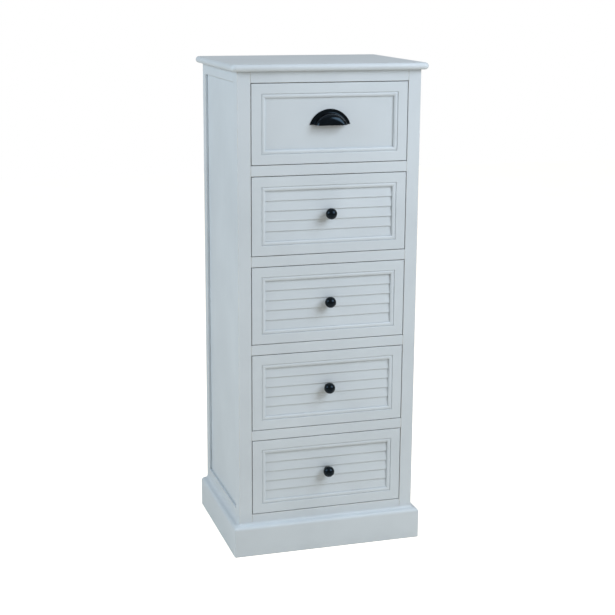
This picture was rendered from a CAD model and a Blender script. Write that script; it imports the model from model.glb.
import math
import random

import bmesh
import bpy
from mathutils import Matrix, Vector


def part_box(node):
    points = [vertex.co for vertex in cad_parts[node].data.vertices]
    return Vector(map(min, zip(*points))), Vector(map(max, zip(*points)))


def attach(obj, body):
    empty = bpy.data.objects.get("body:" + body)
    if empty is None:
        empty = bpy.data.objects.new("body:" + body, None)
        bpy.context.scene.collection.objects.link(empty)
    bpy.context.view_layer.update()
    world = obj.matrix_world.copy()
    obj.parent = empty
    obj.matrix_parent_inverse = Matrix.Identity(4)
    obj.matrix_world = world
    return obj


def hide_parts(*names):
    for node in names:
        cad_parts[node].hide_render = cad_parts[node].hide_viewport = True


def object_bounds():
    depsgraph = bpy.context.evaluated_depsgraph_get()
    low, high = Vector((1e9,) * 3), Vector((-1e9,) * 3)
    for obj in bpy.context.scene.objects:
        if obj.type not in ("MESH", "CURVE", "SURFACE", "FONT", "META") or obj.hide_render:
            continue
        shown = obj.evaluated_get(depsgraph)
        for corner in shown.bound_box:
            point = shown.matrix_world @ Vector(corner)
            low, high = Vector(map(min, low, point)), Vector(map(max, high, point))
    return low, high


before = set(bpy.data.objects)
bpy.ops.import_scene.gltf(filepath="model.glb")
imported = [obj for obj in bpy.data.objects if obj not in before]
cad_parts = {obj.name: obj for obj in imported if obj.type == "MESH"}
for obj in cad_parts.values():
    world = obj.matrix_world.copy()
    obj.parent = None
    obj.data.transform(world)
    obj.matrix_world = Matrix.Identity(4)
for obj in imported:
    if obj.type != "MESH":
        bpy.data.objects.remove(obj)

cad_low, cad_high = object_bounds()
MM = 0.001
DRAWERS = (1, 2, 3, 4, 5)  # the top drawer is number 1

# ---- Posts, rails and side panels ----
# The carcass is sawn pine: two front posts, two rear posts and the rails between them,
# glued up flush, with a thin panel held in grooves on each side. It is planed and
# eased by hand before it is painted, so every outer corner is a small soft round.

paint_light = "#CDD6DD"
paint_dark = "#C5CED5"
paint_worn = "#D6D4CC"
paint_dust = "#8E8A82"
paint_roughness = 0.46
brush_mark = 1.4 * MM    # real bristle marks are 0.3 mm apart, drawn coarser so that they show
brush_stroke = 110 * MM  # length of one stroke
brush_depth = 0.05 * MM
cloud = 160 * MM         # size of the patches where the paint lies a little thicker
worn_run = 12 * MM       # length of one worn spot on an edge
worn_across = 3 * MM
dust_reach = 7 * MM      # how far dust lies out from a corner
dust_most = 0.12         # how much of the colour it takes in the deepest corner
carcass_easing = 1.1 * MM
side_panel_easing = 0.4 * MM
easing_steps = 3
crease = math.radians(35)  # faces that meet at more than this keep a hard line between them
flat = math.radians(0.5)   # faces that meet at less than this are one flat face
weld = 0.002 * MM          # points closer than this are one point


def linear(code):
    """An sRGB hex colour as linear red, green and blue, with full opacity."""
    shares = [int(code[i:i + 2], 16) / 255 for i in (1, 3, 5)]
    return [s / 12.92 if s <= 0.04045 else ((s + 0.055) / 1.055) ** 2.4 for s in shares] + [1]


def add(material, kind, settings=None, inputs=None):
    """Adds a shader node. Settings are its own, and inputs are values or other nodes' outputs."""
    made = material.node_tree.nodes.new("ShaderNode" + kind)
    for name, value in (settings or {}).items():
        setattr(made, name, value)
    for name, value in (inputs or {}).items():
        if isinstance(value, bpy.types.NodeSocket):
            material.node_tree.links.new(value, made.inputs[name])
        else:
            made.inputs[name].default_value = value
    return made


def start_material(name, roughness, metallic=0.0):
    """An empty finish, and the shader that it ends in."""
    material = bpy.data.materials.new(name)
    material.use_nodes = True
    shader = material.node_tree.nodes["Principled BSDF"]
    shader.inputs["Roughness"].default_value = roughness
    shader.inputs["Metallic"].default_value = metallic
    return material, shader


def board_noise(material, along, across, detail=3.0):
    """A noise drawn out along a board: the sizes are those of one mark, in metres."""
    board = add(material, "Attribute", {"attribute_name": "board"})
    stretched = add(material, "VectorMath", {"operation": "MULTIPLY"}, {
        0: board.outputs["Vector"], 1: (1 / along, 1 / across, 1 / across)})
    return add(material, "TexNoise", {}, {
        "Vector": stretched.outputs[0], "Scale": 1.0, "Detail": detail})


def spread(material, value, low, high):
    """Takes a noise, which stays near 0.5, to the whole way from low to high."""
    return add(material, "MapRange", {}, {
        "Value": value, "From Min": 0.3, "From Max": 0.7, "To Min": low, "To Max": high})


def mixed(material, share, first, second):
    """A blend of two colours, each a value or another node's output."""
    return add(material, "Mix", {"data_type": "RGBA"}, {0: share, 6: first, 7: second}).outputs[2]


# Satin acrylic paint, brushed on: cool white, faint strokes along each board, thin and
# warm on the crest of every edge, and a little dust where two faces meet.
def satin_paint(name, light, dark):
    material, shader = start_material(name, paint_roughness)
    place = add(material, "TexCoord")
    patches = add(material, "TexNoise", {}, {
        "Vector": place.outputs["Object"], "Scale": 1 / cloud, "Detail": 3.0})
    clouds = spread(material, patches.outputs[0], 0, 1)
    strokes = board_noise(material, brush_stroke, brush_mark)
    tone = mixed(material, clouds.outputs[0], linear(dark), linear(light))
    worn = add(material, "Attribute", {"attribute_name": "worn"})
    patchy = spread(material, board_noise(material, worn_run, worn_across).outputs[0], 0, 0.8)
    thin = add(material, "Math", {"operation": "MULTIPLY"}, {
        0: worn.outputs["Fac"], 1: patchy.outputs[0]})
    tone = mixed(material, thin.outputs[0], tone, linear(paint_worn))
    corner = add(material, "AmbientOcclusion", {"samples": 8}, {"Distance": dust_reach})
    dusty = add(material, "MapRange", {}, {
        "Value": corner.outputs["AO"], "From Min": 0.2, "From Max": 0.8,
        "To Min": dust_most, "To Max": 0.0})
    tone = mixed(material, dusty.outputs[0], tone, linear(paint_dust))
    gloss = spread(material, strokes.outputs[0], paint_roughness - 0.05, paint_roughness + 0.06)
    ridges = add(material, "Bump", {}, {
        "Strength": 0.55, "Distance": brush_depth, "Height": strokes.outputs[0]})
    links = material.node_tree.links
    links.new(tone, shader.inputs["Base Color"])
    links.new(gloss.outputs[0], shader.inputs["Roughness"])
    links.new(ridges.outputs[0], shader.inputs["Normal"])
    return material


def node_mesh(node):
    """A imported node's own solid with its flat faces whole again, so that its grooves and
    holes are the real ones."""
    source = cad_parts[node].data
    bm = bmesh.new()
    points = [bm.verts.new(v.co) for v in source.vertices]
    for face in source.polygons:
        bm.faces.new([points[i] for i in face.vertices])
    bmesh.ops.remove_doubles(bm, verts=bm.verts, dist=weld)
    bmesh.ops.dissolve_limit(bm, angle_limit=flat, verts=bm.verts, edges=bm.edges)
    return bm


def ease(bm, radius):
    """Rounds the long outer corners, and notes in worn where the crest of each one is."""
    bm.normal_update()
    corners = [
        e for e in bm.edges
        if e.is_manifold and e.is_convex and e.calc_face_angle() > crease
        and e.calc_length() > 4 * radius
    ]
    made = bmesh.ops.bevel(bm, geom=corners, offset=radius, segments=easing_steps, profile=0.5,
                           affect="EDGES", clamp_overlap=False)
    rounds = set(made["faces"])
    worn = bm.verts.layers.float.new("worn")
    for v in bm.verts:
        v[worn] = float(all(face in rounds for face in v.link_faces))


def separate_boards(bm):
    """The points of each board in a mesh, board by board."""
    seen = set()
    for start in bm.verts:
        if start in seen:
            continue
        board = [start]
        seen.add(start)
        for v in board:
            for edge in v.link_edges:
                other = edge.other_vert(v)
                if other not in seen:
                    seen.add(other)
                    board.append(other)
        yield board


def note_boards(bm, name):
    """Stores each point's place in its own board in board: first along its length, then
    across it, with a start of its own for every board so that no two look alike."""
    place = bm.verts.layers.float_vector.new("board")
    chance = random.Random(name)
    for board in separate_boards(bm):
        size = [max(v.co[i] for v in board) - min(v.co[i] for v in board) for i in range(3)]
        order = sorted(range(3), key=lambda i: -size[i])
        start = Vector((chance.uniform(0, 9), chance.uniform(0, 9), chance.uniform(0, 9)))
        for v in board:
            v[place] = start + Vector([v.co[i] for i in order])


def finish_piece(name, bm, material, body, slot, *nodes):
    """Makes a mesh into a piece that moves with its body and stands for its nodes."""
    bmesh.ops.recalc_face_normals(bm, faces=bm.faces)
    for edge in bm.edges:
        edge.smooth = edge.is_manifold and edge.calc_face_angle() < crease
    note_boards(bm, name)
    mesh = bpy.data.meshes.new(name)
    bm.to_mesh(mesh)
    bm.free()
    mesh.shade_smooth()
    mesh.materials.append(material)
    piece = bpy.data.objects.new(name, mesh)
    bpy.context.scene.collection.objects.link(piece)
    level = piece.modifiers.new("flat faces stay flat", "WEIGHTED_NORMAL")
    level.weight = 90
    level.keep_sharp = True
    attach(piece, body)
    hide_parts(*nodes)


white_paint = satin_paint("satin acrylic paint on pine", paint_light, paint_dark)

for node in ("front_post_left", "front_post_right", "rear_posts", "side_rails",
             "side_panels", "front_rails"):
    boards = node_mesh(node)
    ease(boards, side_panel_easing if node == "side_panels" else carcass_easing)
    finish_piece("painted_" + node, boards, white_paint, "carcass", "painted_wood", node)

# ---- Top board ----
# A glued-up pine board with its front and side edges rounded over in a full half round
# and its front corners turned. The back edge is left square against the wall.

top_corner = 13 * MM
top_easing = 0.6 * MM
top_steps = 12  # flats round the half-round edge, and along each turned corner


def round_top(low, high):
    """One outline for each height of the half-round edge, skinned from the lowest up."""
    bm = bmesh.new()
    half_t = (high.z - low.z) / 2
    centre_x = high.x - top_corner
    centre_y = low.y + top_corner
    rings = []
    for i in range(top_steps + 1):
        tilt = math.pi * (i / top_steps - 0.5)
        inset = half_t * (1 - math.cos(tilt))
        z = low.z + half_t * (1 + math.sin(tilt))
        reach = top_corner - inset
        outline = [(centre_x + reach, high.y)]
        for j in range(top_steps + 1):
            turn = -math.pi / 2 * j / top_steps
            outline.append((centre_x + reach * math.cos(turn), centre_y + reach * math.sin(turn)))
        outline += [(-x, y) for x, y in reversed(outline)]
        rings.append([bm.verts.new((x, y, z)) for x, y in outline])
    for lower, upper in zip(rings, rings[1:]):
        for j in range(len(lower) - 1):
            bm.faces.new((lower[j], lower[j + 1], upper[j + 1], upper[j]))
    bm.faces.new(rings[0])
    bm.faces.new(rings[-1])
    bm.faces.new([ring[0] for ring in rings] + [ring[-1] for ring in reversed(rings)])
    return bm


top = round_top(*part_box("top_board"))
ease(top, top_easing)
finish_piece("rounded_top_board", top, white_paint, "carcass", "painted_wood", "top_board")

# ---- Plinth ----
# Three moulded pine boards stand round the foot of the carcass, mitred at the front
# corners. Each has an upright face, then a quarter round, a narrow step and a cove.
# The two mitred corners are sanded to a soft round once they are glued.

plinth_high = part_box("plinth_front")[1]
plinth_back_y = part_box("plinth_sides")[1].y
plinth_front_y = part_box("front_rails")[0].y  # where the plinth meets the carcass
plinth_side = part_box("front_post_right")[1].x
plinth_t = plinth_high.x - plinth_side
cove_r = 6.5 * MM
step_w = 1 * MM
nose_r = plinth_t - cove_r - step_w
foot_r = 0.8 * MM
corner_r = 2.6 * MM
moulding_steps = 10
corner_steps = 4  # for each half of the turn round a corner


def arc(centre, radius, start, end, steps):
    """Points round part of a circle, from one angle to another in degrees."""
    turns = [math.radians(start + (end - start) * i / steps) for i in range(steps + 1)]
    return [(centre[0] + radius * math.cos(t), centre[1] + radius * math.sin(t)) for t in turns]


def plinth_outline():
    """The moulding's section as (distance out from the carcass, height), from the floor up."""
    nose_z = plinth_high.z - cove_r - nose_r
    return [
        (0, 0), (plinth_t - foot_r, 0), (plinth_t, foot_r),
        *arc((plinth_t - nose_r, nose_z), nose_r, 0, 90, moulding_steps),
        *arc((cove_r, plinth_high.z), cove_r, -90, -180, moulding_steps)]


def plinth_corner(outline, turn):
    """The section where it has gone round the right front corner by turn: 0 faces the
    front and 90 degrees faces the side."""
    ring = []
    for out, z in outline:
        soft = min(corner_r, out)
        ring.append((plinth_side + out - soft + soft * math.sin(turn),
                     plinth_front_y - out + soft - soft * math.cos(turn), z))
    return ring


def sweep(bm, rings, crests=()):
    """Skins a board over a row of closed rings and shuts both its ends. Crests lists the
    points of a ring where paint wears thin."""
    worn = bm.verts.layers.float.get("worn") or bm.verts.layers.float.new("worn")
    loops = [[bm.verts.new(point) for point in ring] for ring in rings]
    for loop in loops:
        for j in crests:
            loop[j][worn] = 1.0
    for first, second in zip(loops, loops[1:]):
        for j in range(len(first)):
            k = (j + 1) % len(first)
            bm.faces.new((first[j], first[k], second[k], second[j]))
    bm.faces.new(loops[0])
    bm.faces.new(loops[-1])


def mirrored(rings):
    """The same rings on the other side of the chest."""
    return [[(-x, y, z) for x, y, z in ring] for ring in rings]


plinth_section = plinth_outline()
half_turn = [math.pi / 4 * i / corner_steps for i in range(corner_steps + 1)]
half_front = [plinth_corner(plinth_section, turn) for turn in reversed(half_turn)]
half_side = [plinth_corner(plinth_section, math.pi / 4 + turn) for turn in half_turn]
half_side.append([(plinth_side + out, plinth_back_y, z) for out, z in plinth_section])

front_board = bmesh.new()
sweep(front_board, half_front + list(reversed(mirrored(half_front))))
side_boards = bmesh.new()
sweep(side_boards, half_side)
sweep(side_boards, mirrored(half_side))
for name, boards in (("plinth_front", front_board), ("plinth_sides", side_boards)):
    bmesh.ops.remove_doubles(boards, verts=boards.verts, dist=weld)
    finish_piece("moulded_" + name, boards, white_paint, "carcass", "painted_wood", name)

# ---- Bare wood inside ----
# What is not seen in use is left unpainted: the rails at the back, the runners and their
# guide strips, the battens under the top and the back of the plinth are planed pine.

pine_light = "#E3CDA4"
pine_dark = "#C9A673"
pine_line = "#B08A57"
pine_ring = 5 * MM    # growth lines lie about this far apart
pine_run = 260 * MM   # and wander over this length
pine_bands = 26.0     # lines across the whole range of the noise
pine_pore = 0.7 * MM  # real pores are finer, drawn coarser so that they show
pine_pore_run = 14 * MM
pine_pore_depth = 0.08 * MM
pine_easing = 0.8 * MM


# Planed pine, unfinished: pale yellow, with soft brown growth lines that wander along
# the board, a dry matt surface and fine open pores.
def planed_pine(name):
    material, shader = start_material(name, 0.62)
    broad = spread(material, board_noise(material, pine_run, pine_ring * 4).outputs[0], 0, 1)
    rings = board_noise(material, pine_run, pine_ring, 2.0)
    bands = add(material, "Math", {"operation": "SINE"}, {
        0: add(material, "Math", {"operation": "MULTIPLY"}, {
            0: rings.outputs[0], 1: pine_bands}).outputs[0]})
    lines = add(material, "MapRange", {}, {
        "Value": bands.outputs[0], "From Min": 0.2, "From Max": 1.0, "To Min": 0, "To Max": 0.75})
    pores = board_noise(material, pine_pore_run, pine_pore)
    tone = mixed(material, broad.outputs[0], linear(pine_light), linear(pine_dark))
    tone = mixed(material, lines.outputs[0], tone, linear(pine_line))
    fine = spread(material, pores.outputs[0], 0, 0.25)
    tone = mixed(material, fine.outputs[0], tone, linear(pine_dark))
    grain = add(material, "Bump", {}, {
        "Strength": 0.5, "Distance": pine_pore_depth, "Height": pores.outputs[0]})
    dry = spread(material, pores.outputs[0], 0.55, 0.7)
    links = material.node_tree.links
    links.new(tone, shader.inputs["Base Color"])
    links.new(dry.outputs[0], shader.inputs["Roughness"])
    links.new(grain.outputs[0], shader.inputs["Normal"])
    return material


pine = planed_pine("planed pine")
for node in ("rear_rails", "runners", "top_battens", "plinth_back"):
    boards = node_mesh(node)
    ease(boards, pine_easing)
    finish_piece("pine_" + node, boards, pine, "carcass", "bare_wood", node)

# ---- Plywood panels ----
# The back panel, the dust board under the lowest drawer and the five drawer bottoms are
# thin birch plywood, slid into grooves or pinned into a rebate. Only the back is painted.

birch_light = "#DDC7A0"
birch_dark = "#CDB083"
birch_patch = 40 * MM
birch_patch_run = 300 * MM
birch_fleck = 1.2 * MM
birch_fleck_run = 22 * MM
birch_fleck_depth = 0.05 * MM
ply_easing = 0.3 * MM


# Birch plywood, sanded: a pale, even veneer with long faint flecks.
def birch_ply(name):
    material, shader = start_material(name, 0.55)
    patches = board_noise(material, birch_patch_run, birch_patch)
    cloudy = spread(material, patches.outputs[0], 0, 1)
    flecks = board_noise(material, birch_fleck_run, birch_fleck)
    tone = mixed(material, cloudy.outputs[0], linear(birch_light), linear(birch_dark))
    fleck = spread(material, flecks.outputs[0], 0, 0.3)
    tone = mixed(material, fleck.outputs[0], tone, linear(pine_line))
    grain = add(material, "Bump", {}, {
        "Strength": 0.4, "Distance": birch_fleck_depth, "Height": flecks.outputs[0]})
    links = material.node_tree.links
    links.new(tone, shader.inputs["Base Color"])
    links.new(spread(material, flecks.outputs[0], 0.5, 0.6).outputs[0], shader.inputs["Roughness"])
    links.new(grain.outputs[0], shader.inputs["Normal"])
    return material


birch = birch_ply("sanded birch plywood")
for node, body, slot, finish in (
    ("back_panel", "carcass", "painted_wood", white_paint),
    ("dust_board", "carcass", "plywood", birch),
    *((f"drawer_{n}_bottom", f"drawer_{n}", "plywood", birch) for n in DRAWERS),
):
    boards = node_mesh(node)
    ease(boards, ply_easing)
    finish_piece("thin_" + node, boards, finish, body, slot, node)

# ---- Drawer boxes ----
# Each drawer box is planed pine: two sides grooved for the bottom, a board behind the
# drawer front, and a lower back that stands on the bottom.

box_easing = 0.7 * MM

for n in DRAWERS:
    for part in ("box_sides", "box_ends"):
        boards = node_mesh(f"drawer_{n}_{part}")
        ease(boards, box_easing)
        finish_piece(f"pine_drawer_{n}_{part}", boards, pine, f"drawer_{n}", "bare_wood",
                     f"drawer_{n}_{part}")

# ---- Drawer fronts ----
# A drawer front is a painted pine frame, four mitred members round a thin panel in a
# groove, with its inner edge rounded over. The top drawer's panel is left flat. On the
# four below it carries five louvre slats, thin at their upper edges and thick below.

frame_w = 22 * MM
frame_outer_r = 0.9 * MM
frame_inner_r = 1.2 * MM
frame_groove = 6 * MM
frame_crests = (3, 9)  # the middle points of the two rounded edges in the outline
front_panel_easing = 0.3 * MM
slat_easing = 0.5 * MM


def frame_outline(thick, groove_low, groove_high):
    """A member's section as (distance in from its outer edge, height above its back)."""
    groove_x = frame_w - frame_groove
    return [
        (0, 0),
        *arc((frame_outer_r, thick - frame_outer_r), frame_outer_r, 180, 90, 4),
        *arc((frame_w - frame_inner_r, thick - frame_inner_r), frame_inner_r, 90, 0, 6),
        (frame_w, groove_high), (groove_x, groove_high), (groove_x, groove_low),
        (frame_w, groove_low), (frame_w, 0)]


def mitred_round(node, outline, joint, crests=()):
    """Carries a section round the edge of a node's box in four strips mitred at the
    corners, with a joint of the given width between them."""
    low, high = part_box(node)
    centre_x = (low.x + high.x) / 2
    centre_z = (low.z + high.z) / 2
    half = ((high.x - low.x) / 2, (high.z - low.z) / 2)
    bm = bmesh.new()
    for side in (-1, 1):
        for upright in (0, 1):
            rings = []
            for end in (-1, 1):
                ring = []
                for out, rise in outline:
                    run = end * (half[upright] - joint - out)
                    away = side * (half[1 - upright] - out)
                    x, z = (away, run) if upright else (run, away)
                    ring.append((centre_x + x, high.y - rise, centre_z + z))
                rings.append(ring)
            sweep(bm, rings, crests)
    return bm


for n in DRAWERS:
    front_low, front_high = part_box(f"drawer_{n}_frame")
    panel_low, panel_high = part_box(f"drawer_{n}_panel")
    outline = frame_outline(front_high.y - front_low.y, front_high.y - panel_high.y,
                            front_high.y - panel_low.y)
    members = mitred_round(f"drawer_{n}_frame", outline, 0.0, frame_crests)
    finish_piece(f"painted_drawer_{n}_frame", members, white_paint, f"drawer_{n}",
                 "painted_wood", f"drawer_{n}_frame")
    for part, easing in (("panel", front_panel_easing), ("slats", slat_easing)):
        if f"drawer_{n}_{part}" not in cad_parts:
            continue
        boards = node_mesh(f"drawer_{n}_{part}")
        ease(boards, easing)
        finish_piece(f"painted_drawer_{n}_{part}", boards, white_paint, f"drawer_{n}",
                     "painted_wood", f"drawer_{n}_{part}")

# ---- Beads ----
# A rounded bead is mitred and glued round the inside of every drawer front's frame. It
# stands just below the face of the frame, so that a fine groove runs round its outside.

bead_w = 8.5 * MM
bead_r = 7 * MM
bead_crown = 0.5 * bead_w  # where the bead is highest, in from the frame
bead_joint = 0.1 * MM      # gap at each mitre
bead_easing = 0.4 * MM     # radius of its inner edge
bead_steps = 14


def bead_outline(depth):
    """The bead's section as (distance in from the frame, height above its back)."""
    points = [(0.0, 0.0)]
    for i in range(bead_steps + 1):
        out = (bead_w - bead_easing) * i / bead_steps
        rise = math.sqrt(bead_r ** 2 - (out - bead_crown) ** 2) - bead_r
        points.append((out, depth + rise))
    edge_h = points[-1][1]
    points += arc((bead_w - bead_easing, edge_h - bead_easing), bead_easing, 75, 0, 3)
    points.append((bead_w, 0.0))
    return points


for n in DRAWERS:
    bead_low, bead_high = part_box(f"drawer_{n}_bead")
    strips = mitred_round(f"drawer_{n}_bead", bead_outline(bead_high.y - bead_low.y), bead_joint)
    finish_piece(f"moulded_drawer_{n}_bead", strips, white_paint, f"drawer_{n}",
                 "painted_wood", f"drawer_{n}_bead")

# ---- Knobs ----
# Cast ball knobs on a short neck and a small foot, bored for the screw that holds each one
# from inside the drawer. They are turned smooth and then lacquered black.

black_coat = "#050609"
black_thin = "#090B0F"
black_sheen = "#B0D8F5"  # the cold cast of light that glances off the lacquer
knob_foot_r = 6 * MM
knob_neck_r = 4.5 * MM
knob_foot_t = 2 * MM
knob_bore_r = 2 * MM
knob_bore = 12 * MM      # how deep the bore goes
knob_soft = 0.6 * MM     # radius of the foot's edge
knob_fillet = 0.4 * MM   # where the foot meets the neck
knob_chamfer = 0.3 * MM  # at the mouth of the bore and at the back of the foot
pebble = 0.9 * MM        # real pebbling is 0.2 mm across, drawn coarser so that it shows
pebble_depth = 0.03 * MM
lacquer_patch = 9 * MM   # size of the patches where the lacquer lies thinner
lathe_steps = 64
point_r = 0.001 * MM     # a ring smaller than this is one point


# Black satin lacquer, sprayed and baked: nearly black, with the fine pebbled skin that
# sprayed lacquer dries to, and a cold sheen.
def satin_lacquer(name):
    material, shader = start_material(name, 0.18)
    shader.inputs["Specular IOR Level"].default_value = 0.28
    shader.inputs["Specular Tint"].default_value = linear(black_sheen)
    place = add(material, "Attribute", {"attribute_name": "board"})
    pebbles = add(material, "TexNoise", {}, {
        "Vector": place.outputs["Vector"], "Scale": 1 / pebble, "Detail": 2.0})
    patches = add(material, "TexNoise", {}, {
        "Vector": place.outputs["Vector"], "Scale": 1 / lacquer_patch, "Detail": 3.0})
    share = spread(material, patches.outputs[0], 0, 0.6)
    tone = mixed(material, share.outputs[0], linear(black_coat), linear(black_thin))
    skin = add(material, "Bump", {}, {
        "Strength": 0.35, "Distance": pebble_depth, "Height": pebbles.outputs[0]})
    sheen = spread(material, patches.outputs[0], 0.15, 0.21)
    links = material.node_tree.links
    links.new(tone, shader.inputs["Base Color"])
    links.new(sheen.outputs[0], shader.inputs["Roughness"])
    links.new(skin.outputs[0], shader.inputs["Normal"])
    return material


def skin_rings(bm, rings, centre):
    """Skins rings of points, each given as (radius, distance forwards) at even angles round
    a line that points at -Y. The first and last rings are single points on that line."""
    loops = []
    for ring in rings:
        loop = []
        for i, (radius, out) in enumerate(ring[:1] if ring[0][0] < point_r else ring):
            turn = 2 * math.pi * i / lathe_steps
            loop.append(bm.verts.new((centre[0] + radius * math.cos(turn), centre[1] - out,
                                      centre[2] + radius * math.sin(turn))))
        loops.append(loop)
    for first, second in zip(loops, loops[1:]):
        for i in range(lathe_steps):
            k = (i + 1) % lathe_steps
            corners = [first[i % len(first)], first[k % len(first)],
                       second[k % len(second)], second[i % len(second)]]
            bm.faces.new(list(dict.fromkeys(corners)))


def turned(bm, outline, centre):
    """Turns an outline of (radius, distance forwards) about a line that points at -Y. The
    outline starts and ends on that line."""
    skin_rings(bm, [[(radius, out)] * lathe_steps for radius, out in outline], centre)


def knob_outline(reach, ball_r):
    """From the bottom of the bore, out over the foot, in to the neck and round the ball."""
    neck_turn = math.degrees(math.asin(knob_neck_r / ball_r))
    return [
        (0, knob_bore), (knob_bore_r, knob_bore), (knob_bore_r, knob_chamfer),
        (knob_bore_r + knob_chamfer, 0), (knob_foot_r - knob_chamfer, 0),
        (knob_foot_r, knob_chamfer),
        *arc((knob_foot_r - knob_soft, knob_foot_t - knob_soft), knob_soft, 0, 90, 4),
        (knob_neck_r + knob_fillet, knob_foot_t), (knob_neck_r, knob_foot_t + knob_fillet),
        *arc((0, reach - ball_r), ball_r, neck_turn - 90, 90, 28)]


black_metal = satin_lacquer("black satin lacquer on cast metal")
for n in DRAWERS[1:]:
    low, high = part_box(f"drawer_{n}_knob")
    knob = bmesh.new()
    turned(knob, knob_outline(high.y - low.y, (high.x - low.x) / 2),
           ((low.x + high.x) / 2, high.y, (low.z + high.z) / 2))
    finish_piece(f"ball_knob_{n}", knob, black_metal, f"drawer_{n}", "black_metal",
                 f"drawer_{n}_knob")

# ---- Cup pull ----
# The top drawer's pull is one thin casting: a flat flange round a hollow dome, cut off
# straight along the bottom, with the same black lacquer as the knobs. Two short posts cast
# inside it take the screws.

cup_t = 2 * MM           # thickness of the metal
cup_flange = 9 * MM      # width of the flat rim round the dome
cup_shoulder = 14 * MM   # radius where the front of the dome turns back
cup_fillet = 2.2 * MM    # radius between the dome and the flange
cup_rim = 0.6 * MM       # radius of the flange's outer edge
cup_post_r = 3.5 * MM
cup_post_bore_r = 1.7 * MM
cup_screw_inset = 19 * MM  # from the end of the pull to the middle of a post
cup_screw_rise = 5 * MM    # from the cut edge up to it
cup_spokes = 112
cup_steps = 56
cup_spread = 0.9995  # share of the dish's spread that the spokes take, to stop inside the cut
cup_weld = 0.02 * MM


def line(start, end, steps):
    """Points from start towards end in even steps. The end itself isn't among them."""
    return [(start[0] + (end[0] - start[0]) * i / steps,
             start[1] + (end[1] - start[1]) * i / steps) for i in range(steps)]


def cup_curve(dish_r, reach):
    """The dish's section as (radius, height): a flat front, a round shoulder, a short wall,
    a fillet and the flange, in small even steps."""
    wall_r = dish_r - cup_flange
    front_r = wall_r - cup_shoulder
    wall_h = reach - cup_shoulder
    foot_h = cup_t + cup_fillet
    foot_r = wall_r + cup_fillet
    rim_r = dish_r - cup_rim
    return [
        *line((0, reach), (front_r, reach), 8),
        *arc((front_r, wall_h), cup_shoulder, 90, 0, 20),
        *line((wall_r, wall_h), (wall_r, foot_h), 4)[1:],
        *arc((foot_r, foot_h), cup_fillet, 180, 270, 8),
        *line((foot_r, cup_t), (rim_r, cup_t), 8)[1:],
        *arc((rim_r, cup_t - cup_rim), cup_rim, 90, 0, 4)]


def along_curve(curve, from_r):
    """Points spread evenly over a section from the radius from_r to its end, each with the
    point straight behind it on the inside of the metal."""
    lengths = [0.0]
    for (r0, h0), (r1, h1) in zip(curve, curve[1:]):
        lengths.append(lengths[-1] + math.hypot(r1 - r0, h1 - h0))
    start = next(i for i, (r, h) in enumerate(curve) if r >= from_r)
    r0 = curve[start - 1][0]
    r1 = curve[start][0]
    part = (from_r - r0) / (r1 - r0)
    first = lengths[start - 1] + part * (lengths[start] - lengths[start - 1])
    found = []
    for i in range(cup_steps + 1):
        want = first + (lengths[-1] - first) * i / cup_steps
        k = max(1, next(j for j, gone in enumerate(lengths) if gone >= want - 1e-12))
        step = lengths[k] - lengths[k - 1]
        beyond = want - lengths[k - 1]
        run = (curve[k][0] - curve[k - 1][0]) / step
        rise = (curve[k][1] - curve[k - 1][1]) / step
        outer = (curve[k - 1][0] + beyond * run, curve[k - 1][1] + beyond * rise)
        inner = (outer[0] + cup_t * rise, outer[1] - cup_t * run)
        if outer[1] < cup_t * 1.001:  # on the flange, whose back lies flat on the drawer
            inner = (outer[0], 0.0)
        found.append((outer, inner))
    return found


def cup_mesh(low, high):
    """The dish is a grid of spokes about an axis below the cut edge, with a second grid
    inside it and a wall between the two all the way round."""
    half_w = (high.x - low.x) / 2
    height = high.z - low.z
    dish_r = (half_w ** 2 + height ** 2) / (2 * height)
    cut = dish_r - height
    half_angle = math.acos(cut / dish_r) * cup_spread
    curve = cup_curve(dish_r, high.y - low.y)
    bm = bmesh.new()
    grids = ([], [])
    for i in range(cup_spokes + 1):
        turn = half_angle * (2 * i / cup_spokes - 1)
        pairs = along_curve(curve, cut / math.cos(turn))
        for side, grid in enumerate(grids):
            row = []
            for pair in pairs:
                radius, rise = pair[side]
                z = max(low.z, low.z - cut + radius * math.cos(turn))
                row.append(bm.verts.new((radius * math.sin(turn), high.y - rise, z)))
            grid.append(row)
    for grid in grids:
        for first, second in zip(grid, grid[1:]):
            for j in range(cup_steps):
                bm.faces.new((first[j], first[j + 1], second[j + 1], second[j]))
    outer, inner = grids
    for i in range(cup_spokes):
        for j in (0, -1):
            bm.faces.new((outer[i][j], outer[i + 1][j], inner[i + 1][j], inner[i][j]))
    for i in (0, -1):
        for j in range(cup_steps):
            bm.faces.new((outer[i][j], outer[i][j + 1], inner[i][j + 1], inner[i][j]))
    bmesh.ops.remove_doubles(bm, verts=bm.verts, dist=cup_weld)
    for side in (-1, 1):
        x = side * (half_w - cup_screw_inset)
        radius = math.hypot(x, cut + cup_screw_rise)
        tip = next(h for r, h in curve if r >= radius) - cup_t / 2  # inside the dish's metal
        turned(bm, [(0, tip), (cup_post_r, tip), (cup_post_r, 0), (cup_post_bore_r, 0),
                    (cup_post_bore_r, tip - cup_t), (0, tip - cup_t)],
               (x, high.y, low.z + cup_screw_rise))
    return bm


pull_low, pull_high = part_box("drawer_1_cup_pull")
finish_piece("cup_pull_shell", cup_mesh(pull_low, pull_high), black_metal, "drawer_1",
             "black_metal", "drawer_1_cup_pull")

# ---- Screws ----
# Zinc-plated steel screws with pan heads, driven from inside the drawer: one holds each
# knob, two hold the cup pull and four hold each drawer front on its box.

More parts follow.
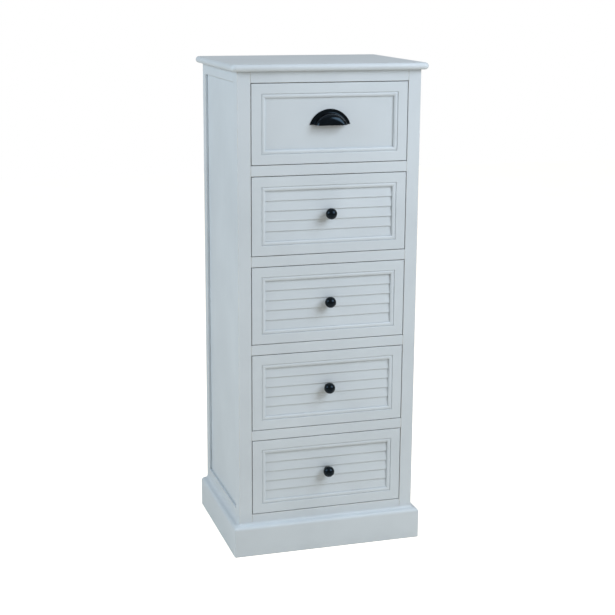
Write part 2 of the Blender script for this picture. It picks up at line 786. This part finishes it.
zinc_light = "#C9CBCC"
zinc_dark = "#A3A7A9"
zinc_patch = 2.5 * MM
zinc_depth = 0.03 * MM
screw_head_t = 2.5 * MM
screw_flat = 0.58   # share of the head's radius that is flat on top
screw_round = 0.6   # share of its thickness that is rounded, and how deep the cross goes
cross_foot = 0.25   # reach of the cross as a share of the head's radius, at its bottom
cross_mouth = 0.5   # and at the surface
cross_waist = 0.45  # how far it goes between its arms, as a share of that reach
arm_steps = 5       # width of an arm, in steps of the lathe


# Bright zinc plate: a light grey metal, half polished, with faint cloudy patches.
def zinc_plate(name):
    material, shader = start_material(name, 0.34, 1.0)
    place = add(material, "TexCoord")
    patches = add(material, "TexNoise", {}, {
        "Vector": place.outputs["Object"], "Scale": 1 / zinc_patch, "Detail": 3.0})
    share = spread(material, patches.outputs[0], 0, 1)
    tone = mixed(material, share.outputs[0], linear(zinc_light), linear(zinc_dark))
    gloss = spread(material, patches.outputs[0], 0.28, 0.42)
    bumps = add(material, "Bump", {}, {
        "Strength": 0.3, "Distance": zinc_depth, "Height": patches.outputs[0]})
    links = material.node_tree.links
    links.new(tone, shader.inputs["Base Color"])
    links.new(gloss.outputs[0], shader.inputs["Roughness"])
    links.new(bumps.outputs[0], shader.inputs["Normal"])
    return material


def pan_screw(bm, low, high):
    """A round head with a cross recess, and a shank that points forwards to a short point."""
    head_r = (high.x - low.x) / 2
    shank_r = head_r / 2
    length = high.y - low.y
    round_t = screw_round * screw_head_t
    whole = [1] * lathe_steps
    cross = [1 if (i + arm_steps // 2) % (lathe_steps // 4) < arm_steps else cross_waist
             for i in range(lathe_steps)]
    rings = [(whole, 0, round_t), (cross, cross_foot * head_r, round_t),
             (cross, cross_mouth * head_r, 0), (whole, screw_flat * head_r, 0)]
    for out, down in arc((0, 1), 1, -90, 0, 6)[1:]:
        rings.append((whole, (screw_flat + (1 - screw_flat) * out) * head_r, down * round_t))
    rings += [(whole, head_r, screw_head_t), (whole, shank_r, screw_head_t),
              (whole, shank_r, length - 1.5 * shank_r), (whole, 0.2 * shank_r, length),
              (whole, 0, length)]
    skin_rings(bm, [[(share * radius, out) for share in shares] for shares, radius, out in rings],
               ((low.x + high.x) / 2, high.y, (low.z + high.z) / 2))


zinc = zinc_plate("zinc-plated steel")
for n in DRAWERS:
    packed = node_mesh(f"drawer_{n}_screws")
    screws = bmesh.new()
    for solid in separate_boards(packed):
        corners = [[v.co[i] for v in solid] for i in range(3)]
        pan_screw(screws, Vector([min(c) for c in corners]), Vector([max(c) for c in corners]))
    packed.free()
    finish_piece(f"pan_head_screws_{n}", screws, zinc, f"drawer_{n}", "zinc_steel",
                 f"drawer_{n}_screws")

# ---- Floor, light and camera ----
# A floor of white studio card, a large soft box high on the right in front, another on
# the left, a weak one overhead and a pale surround. The camera looks down a little at the
# chest from its left.

floor_white = "#F3EADC"
floor_grey = "#EEE5D6"
floor_glow = 0.75     # light of its own where the camera sees it, so that it shows as white
floor_mottle = 1 / 3  # size of one patch of the mottle, in metres
floor_size = 12.0
surround_strength = 0.37
surround_tint = "#FFF8EE"
pure_white = "#FFFFFF"
middle = (cad_low + cad_high) / 2


# Matt studio card: warm white, with a barely visible mottle, lit so that it shows as white.
def studio_card(name):
    material, shader = start_material(name, 0.9)
    place = add(material, "TexCoord")
    mottle = add(material, "TexNoise", {}, {
        "Vector": place.outputs["Object"], "Scale": 1 / floor_mottle})
    share = spread(material, mottle.outputs[0], 0, 1)
    seen = add(material, "LightPath")
    glow = add(material, "Math", {"operation": "MULTIPLY"}, {
        0: seen.outputs["Is Camera Ray"], 1: floor_glow})
    shader.inputs["Emission Color"].default_value = linear(pure_white)
    links = material.node_tree.links
    links.new(mixed(material, share.outputs[0], linear(floor_white), linear(floor_grey)),
              shader.inputs["Base Color"])
    links.new(glow.outputs[0], shader.inputs["Emission Strength"])
    return material


floor_mesh = bpy.data.meshes.new("studio_floor")
half_floor = floor_size / 2
floor_corners = [(-half_floor, -half_floor, 0), (half_floor, -half_floor, 0),
                 (half_floor, half_floor, 0), (-half_floor, half_floor, 0)]
floor_mesh.from_pydata(floor_corners, [], [(0, 1, 2, 3)])
floor_mesh.materials.append(studio_card("matt studio card"))
floor = bpy.data.objects.new("studio_floor", floor_mesh)
bpy.context.scene.collection.objects.link(floor)

bpy.context.scene.view_settings.view_transform = "Standard"
world = bpy.data.worlds.new("pale surround")
world.use_nodes = True
surround = world.node_tree.nodes["Background"]
surround.inputs["Color"].default_value = linear(surround_tint)
surround.inputs["Strength"].default_value = surround_strength
backdrop = add(world, "Background", {}, {"Color": linear(pure_white), "Strength": 1.0})
ray = add(world, "LightPath")
both = add(world, "MixShader", {}, {
    0: ray.outputs["Is Camera Ray"], 1: surround.outputs[0], 2: backdrop.outputs[0]})
world.node_tree.links.new(both.outputs[0], world.node_tree.nodes["World Output"].inputs["Surface"])
bpy.context.scene.world = world


def soft_light(name, place, size, power, tint):
    """A square soft box at place, turned to the middle of the chest."""
    lamp = bpy.data.lights.new(name, "AREA")
    lamp.shape = "SQUARE"
    lamp.size = size
    lamp.energy = power
    lamp.color = linear(tint)[:3]
    box = bpy.data.objects.new(name, lamp)
    box.location = place
    box.rotation_euler = (middle - Vector(place)).to_track_quat("-Z", "Y").to_euler()
    bpy.context.scene.collection.objects.link(box)


soft_light("key_light", (1.3, -1.6, 2.0), 1.45, 42, "#EAF4FF")
soft_light("left_fill", (-2.6, -0.25, 1.9), 1.6, 45, "#DEF0FF")
soft_light("top_light", (0.0, 0.2, 3.2), 1.6, 5, "#DEF0FF")

camera_place = Vector((-0.9035, -2.9531, 1.271))
camera_azimuth = math.radians(-16.97)
camera_elevation = math.radians(13.5)
camera_roll = math.radians(0.35)
camera_lens = 79.7

view = bpy.data.cameras.new("camera")
view.lens = camera_lens
camera = bpy.data.objects.new("camera", view)
camera.location = camera_place
backwards = Vector((math.sin(camera_azimuth) * math.cos(camera_elevation),
                    -math.cos(camera_azimuth) * math.cos(camera_elevation),
                    math.sin(camera_elevation)))
camera.rotation_euler = (-backwards).to_track_quat("-Z", "Y").to_euler()
camera.rotation_euler.rotate_axis("Z", camera_roll)
bpy.context.scene.collection.objects.link(camera)
bpy.context.scene.camera = camera
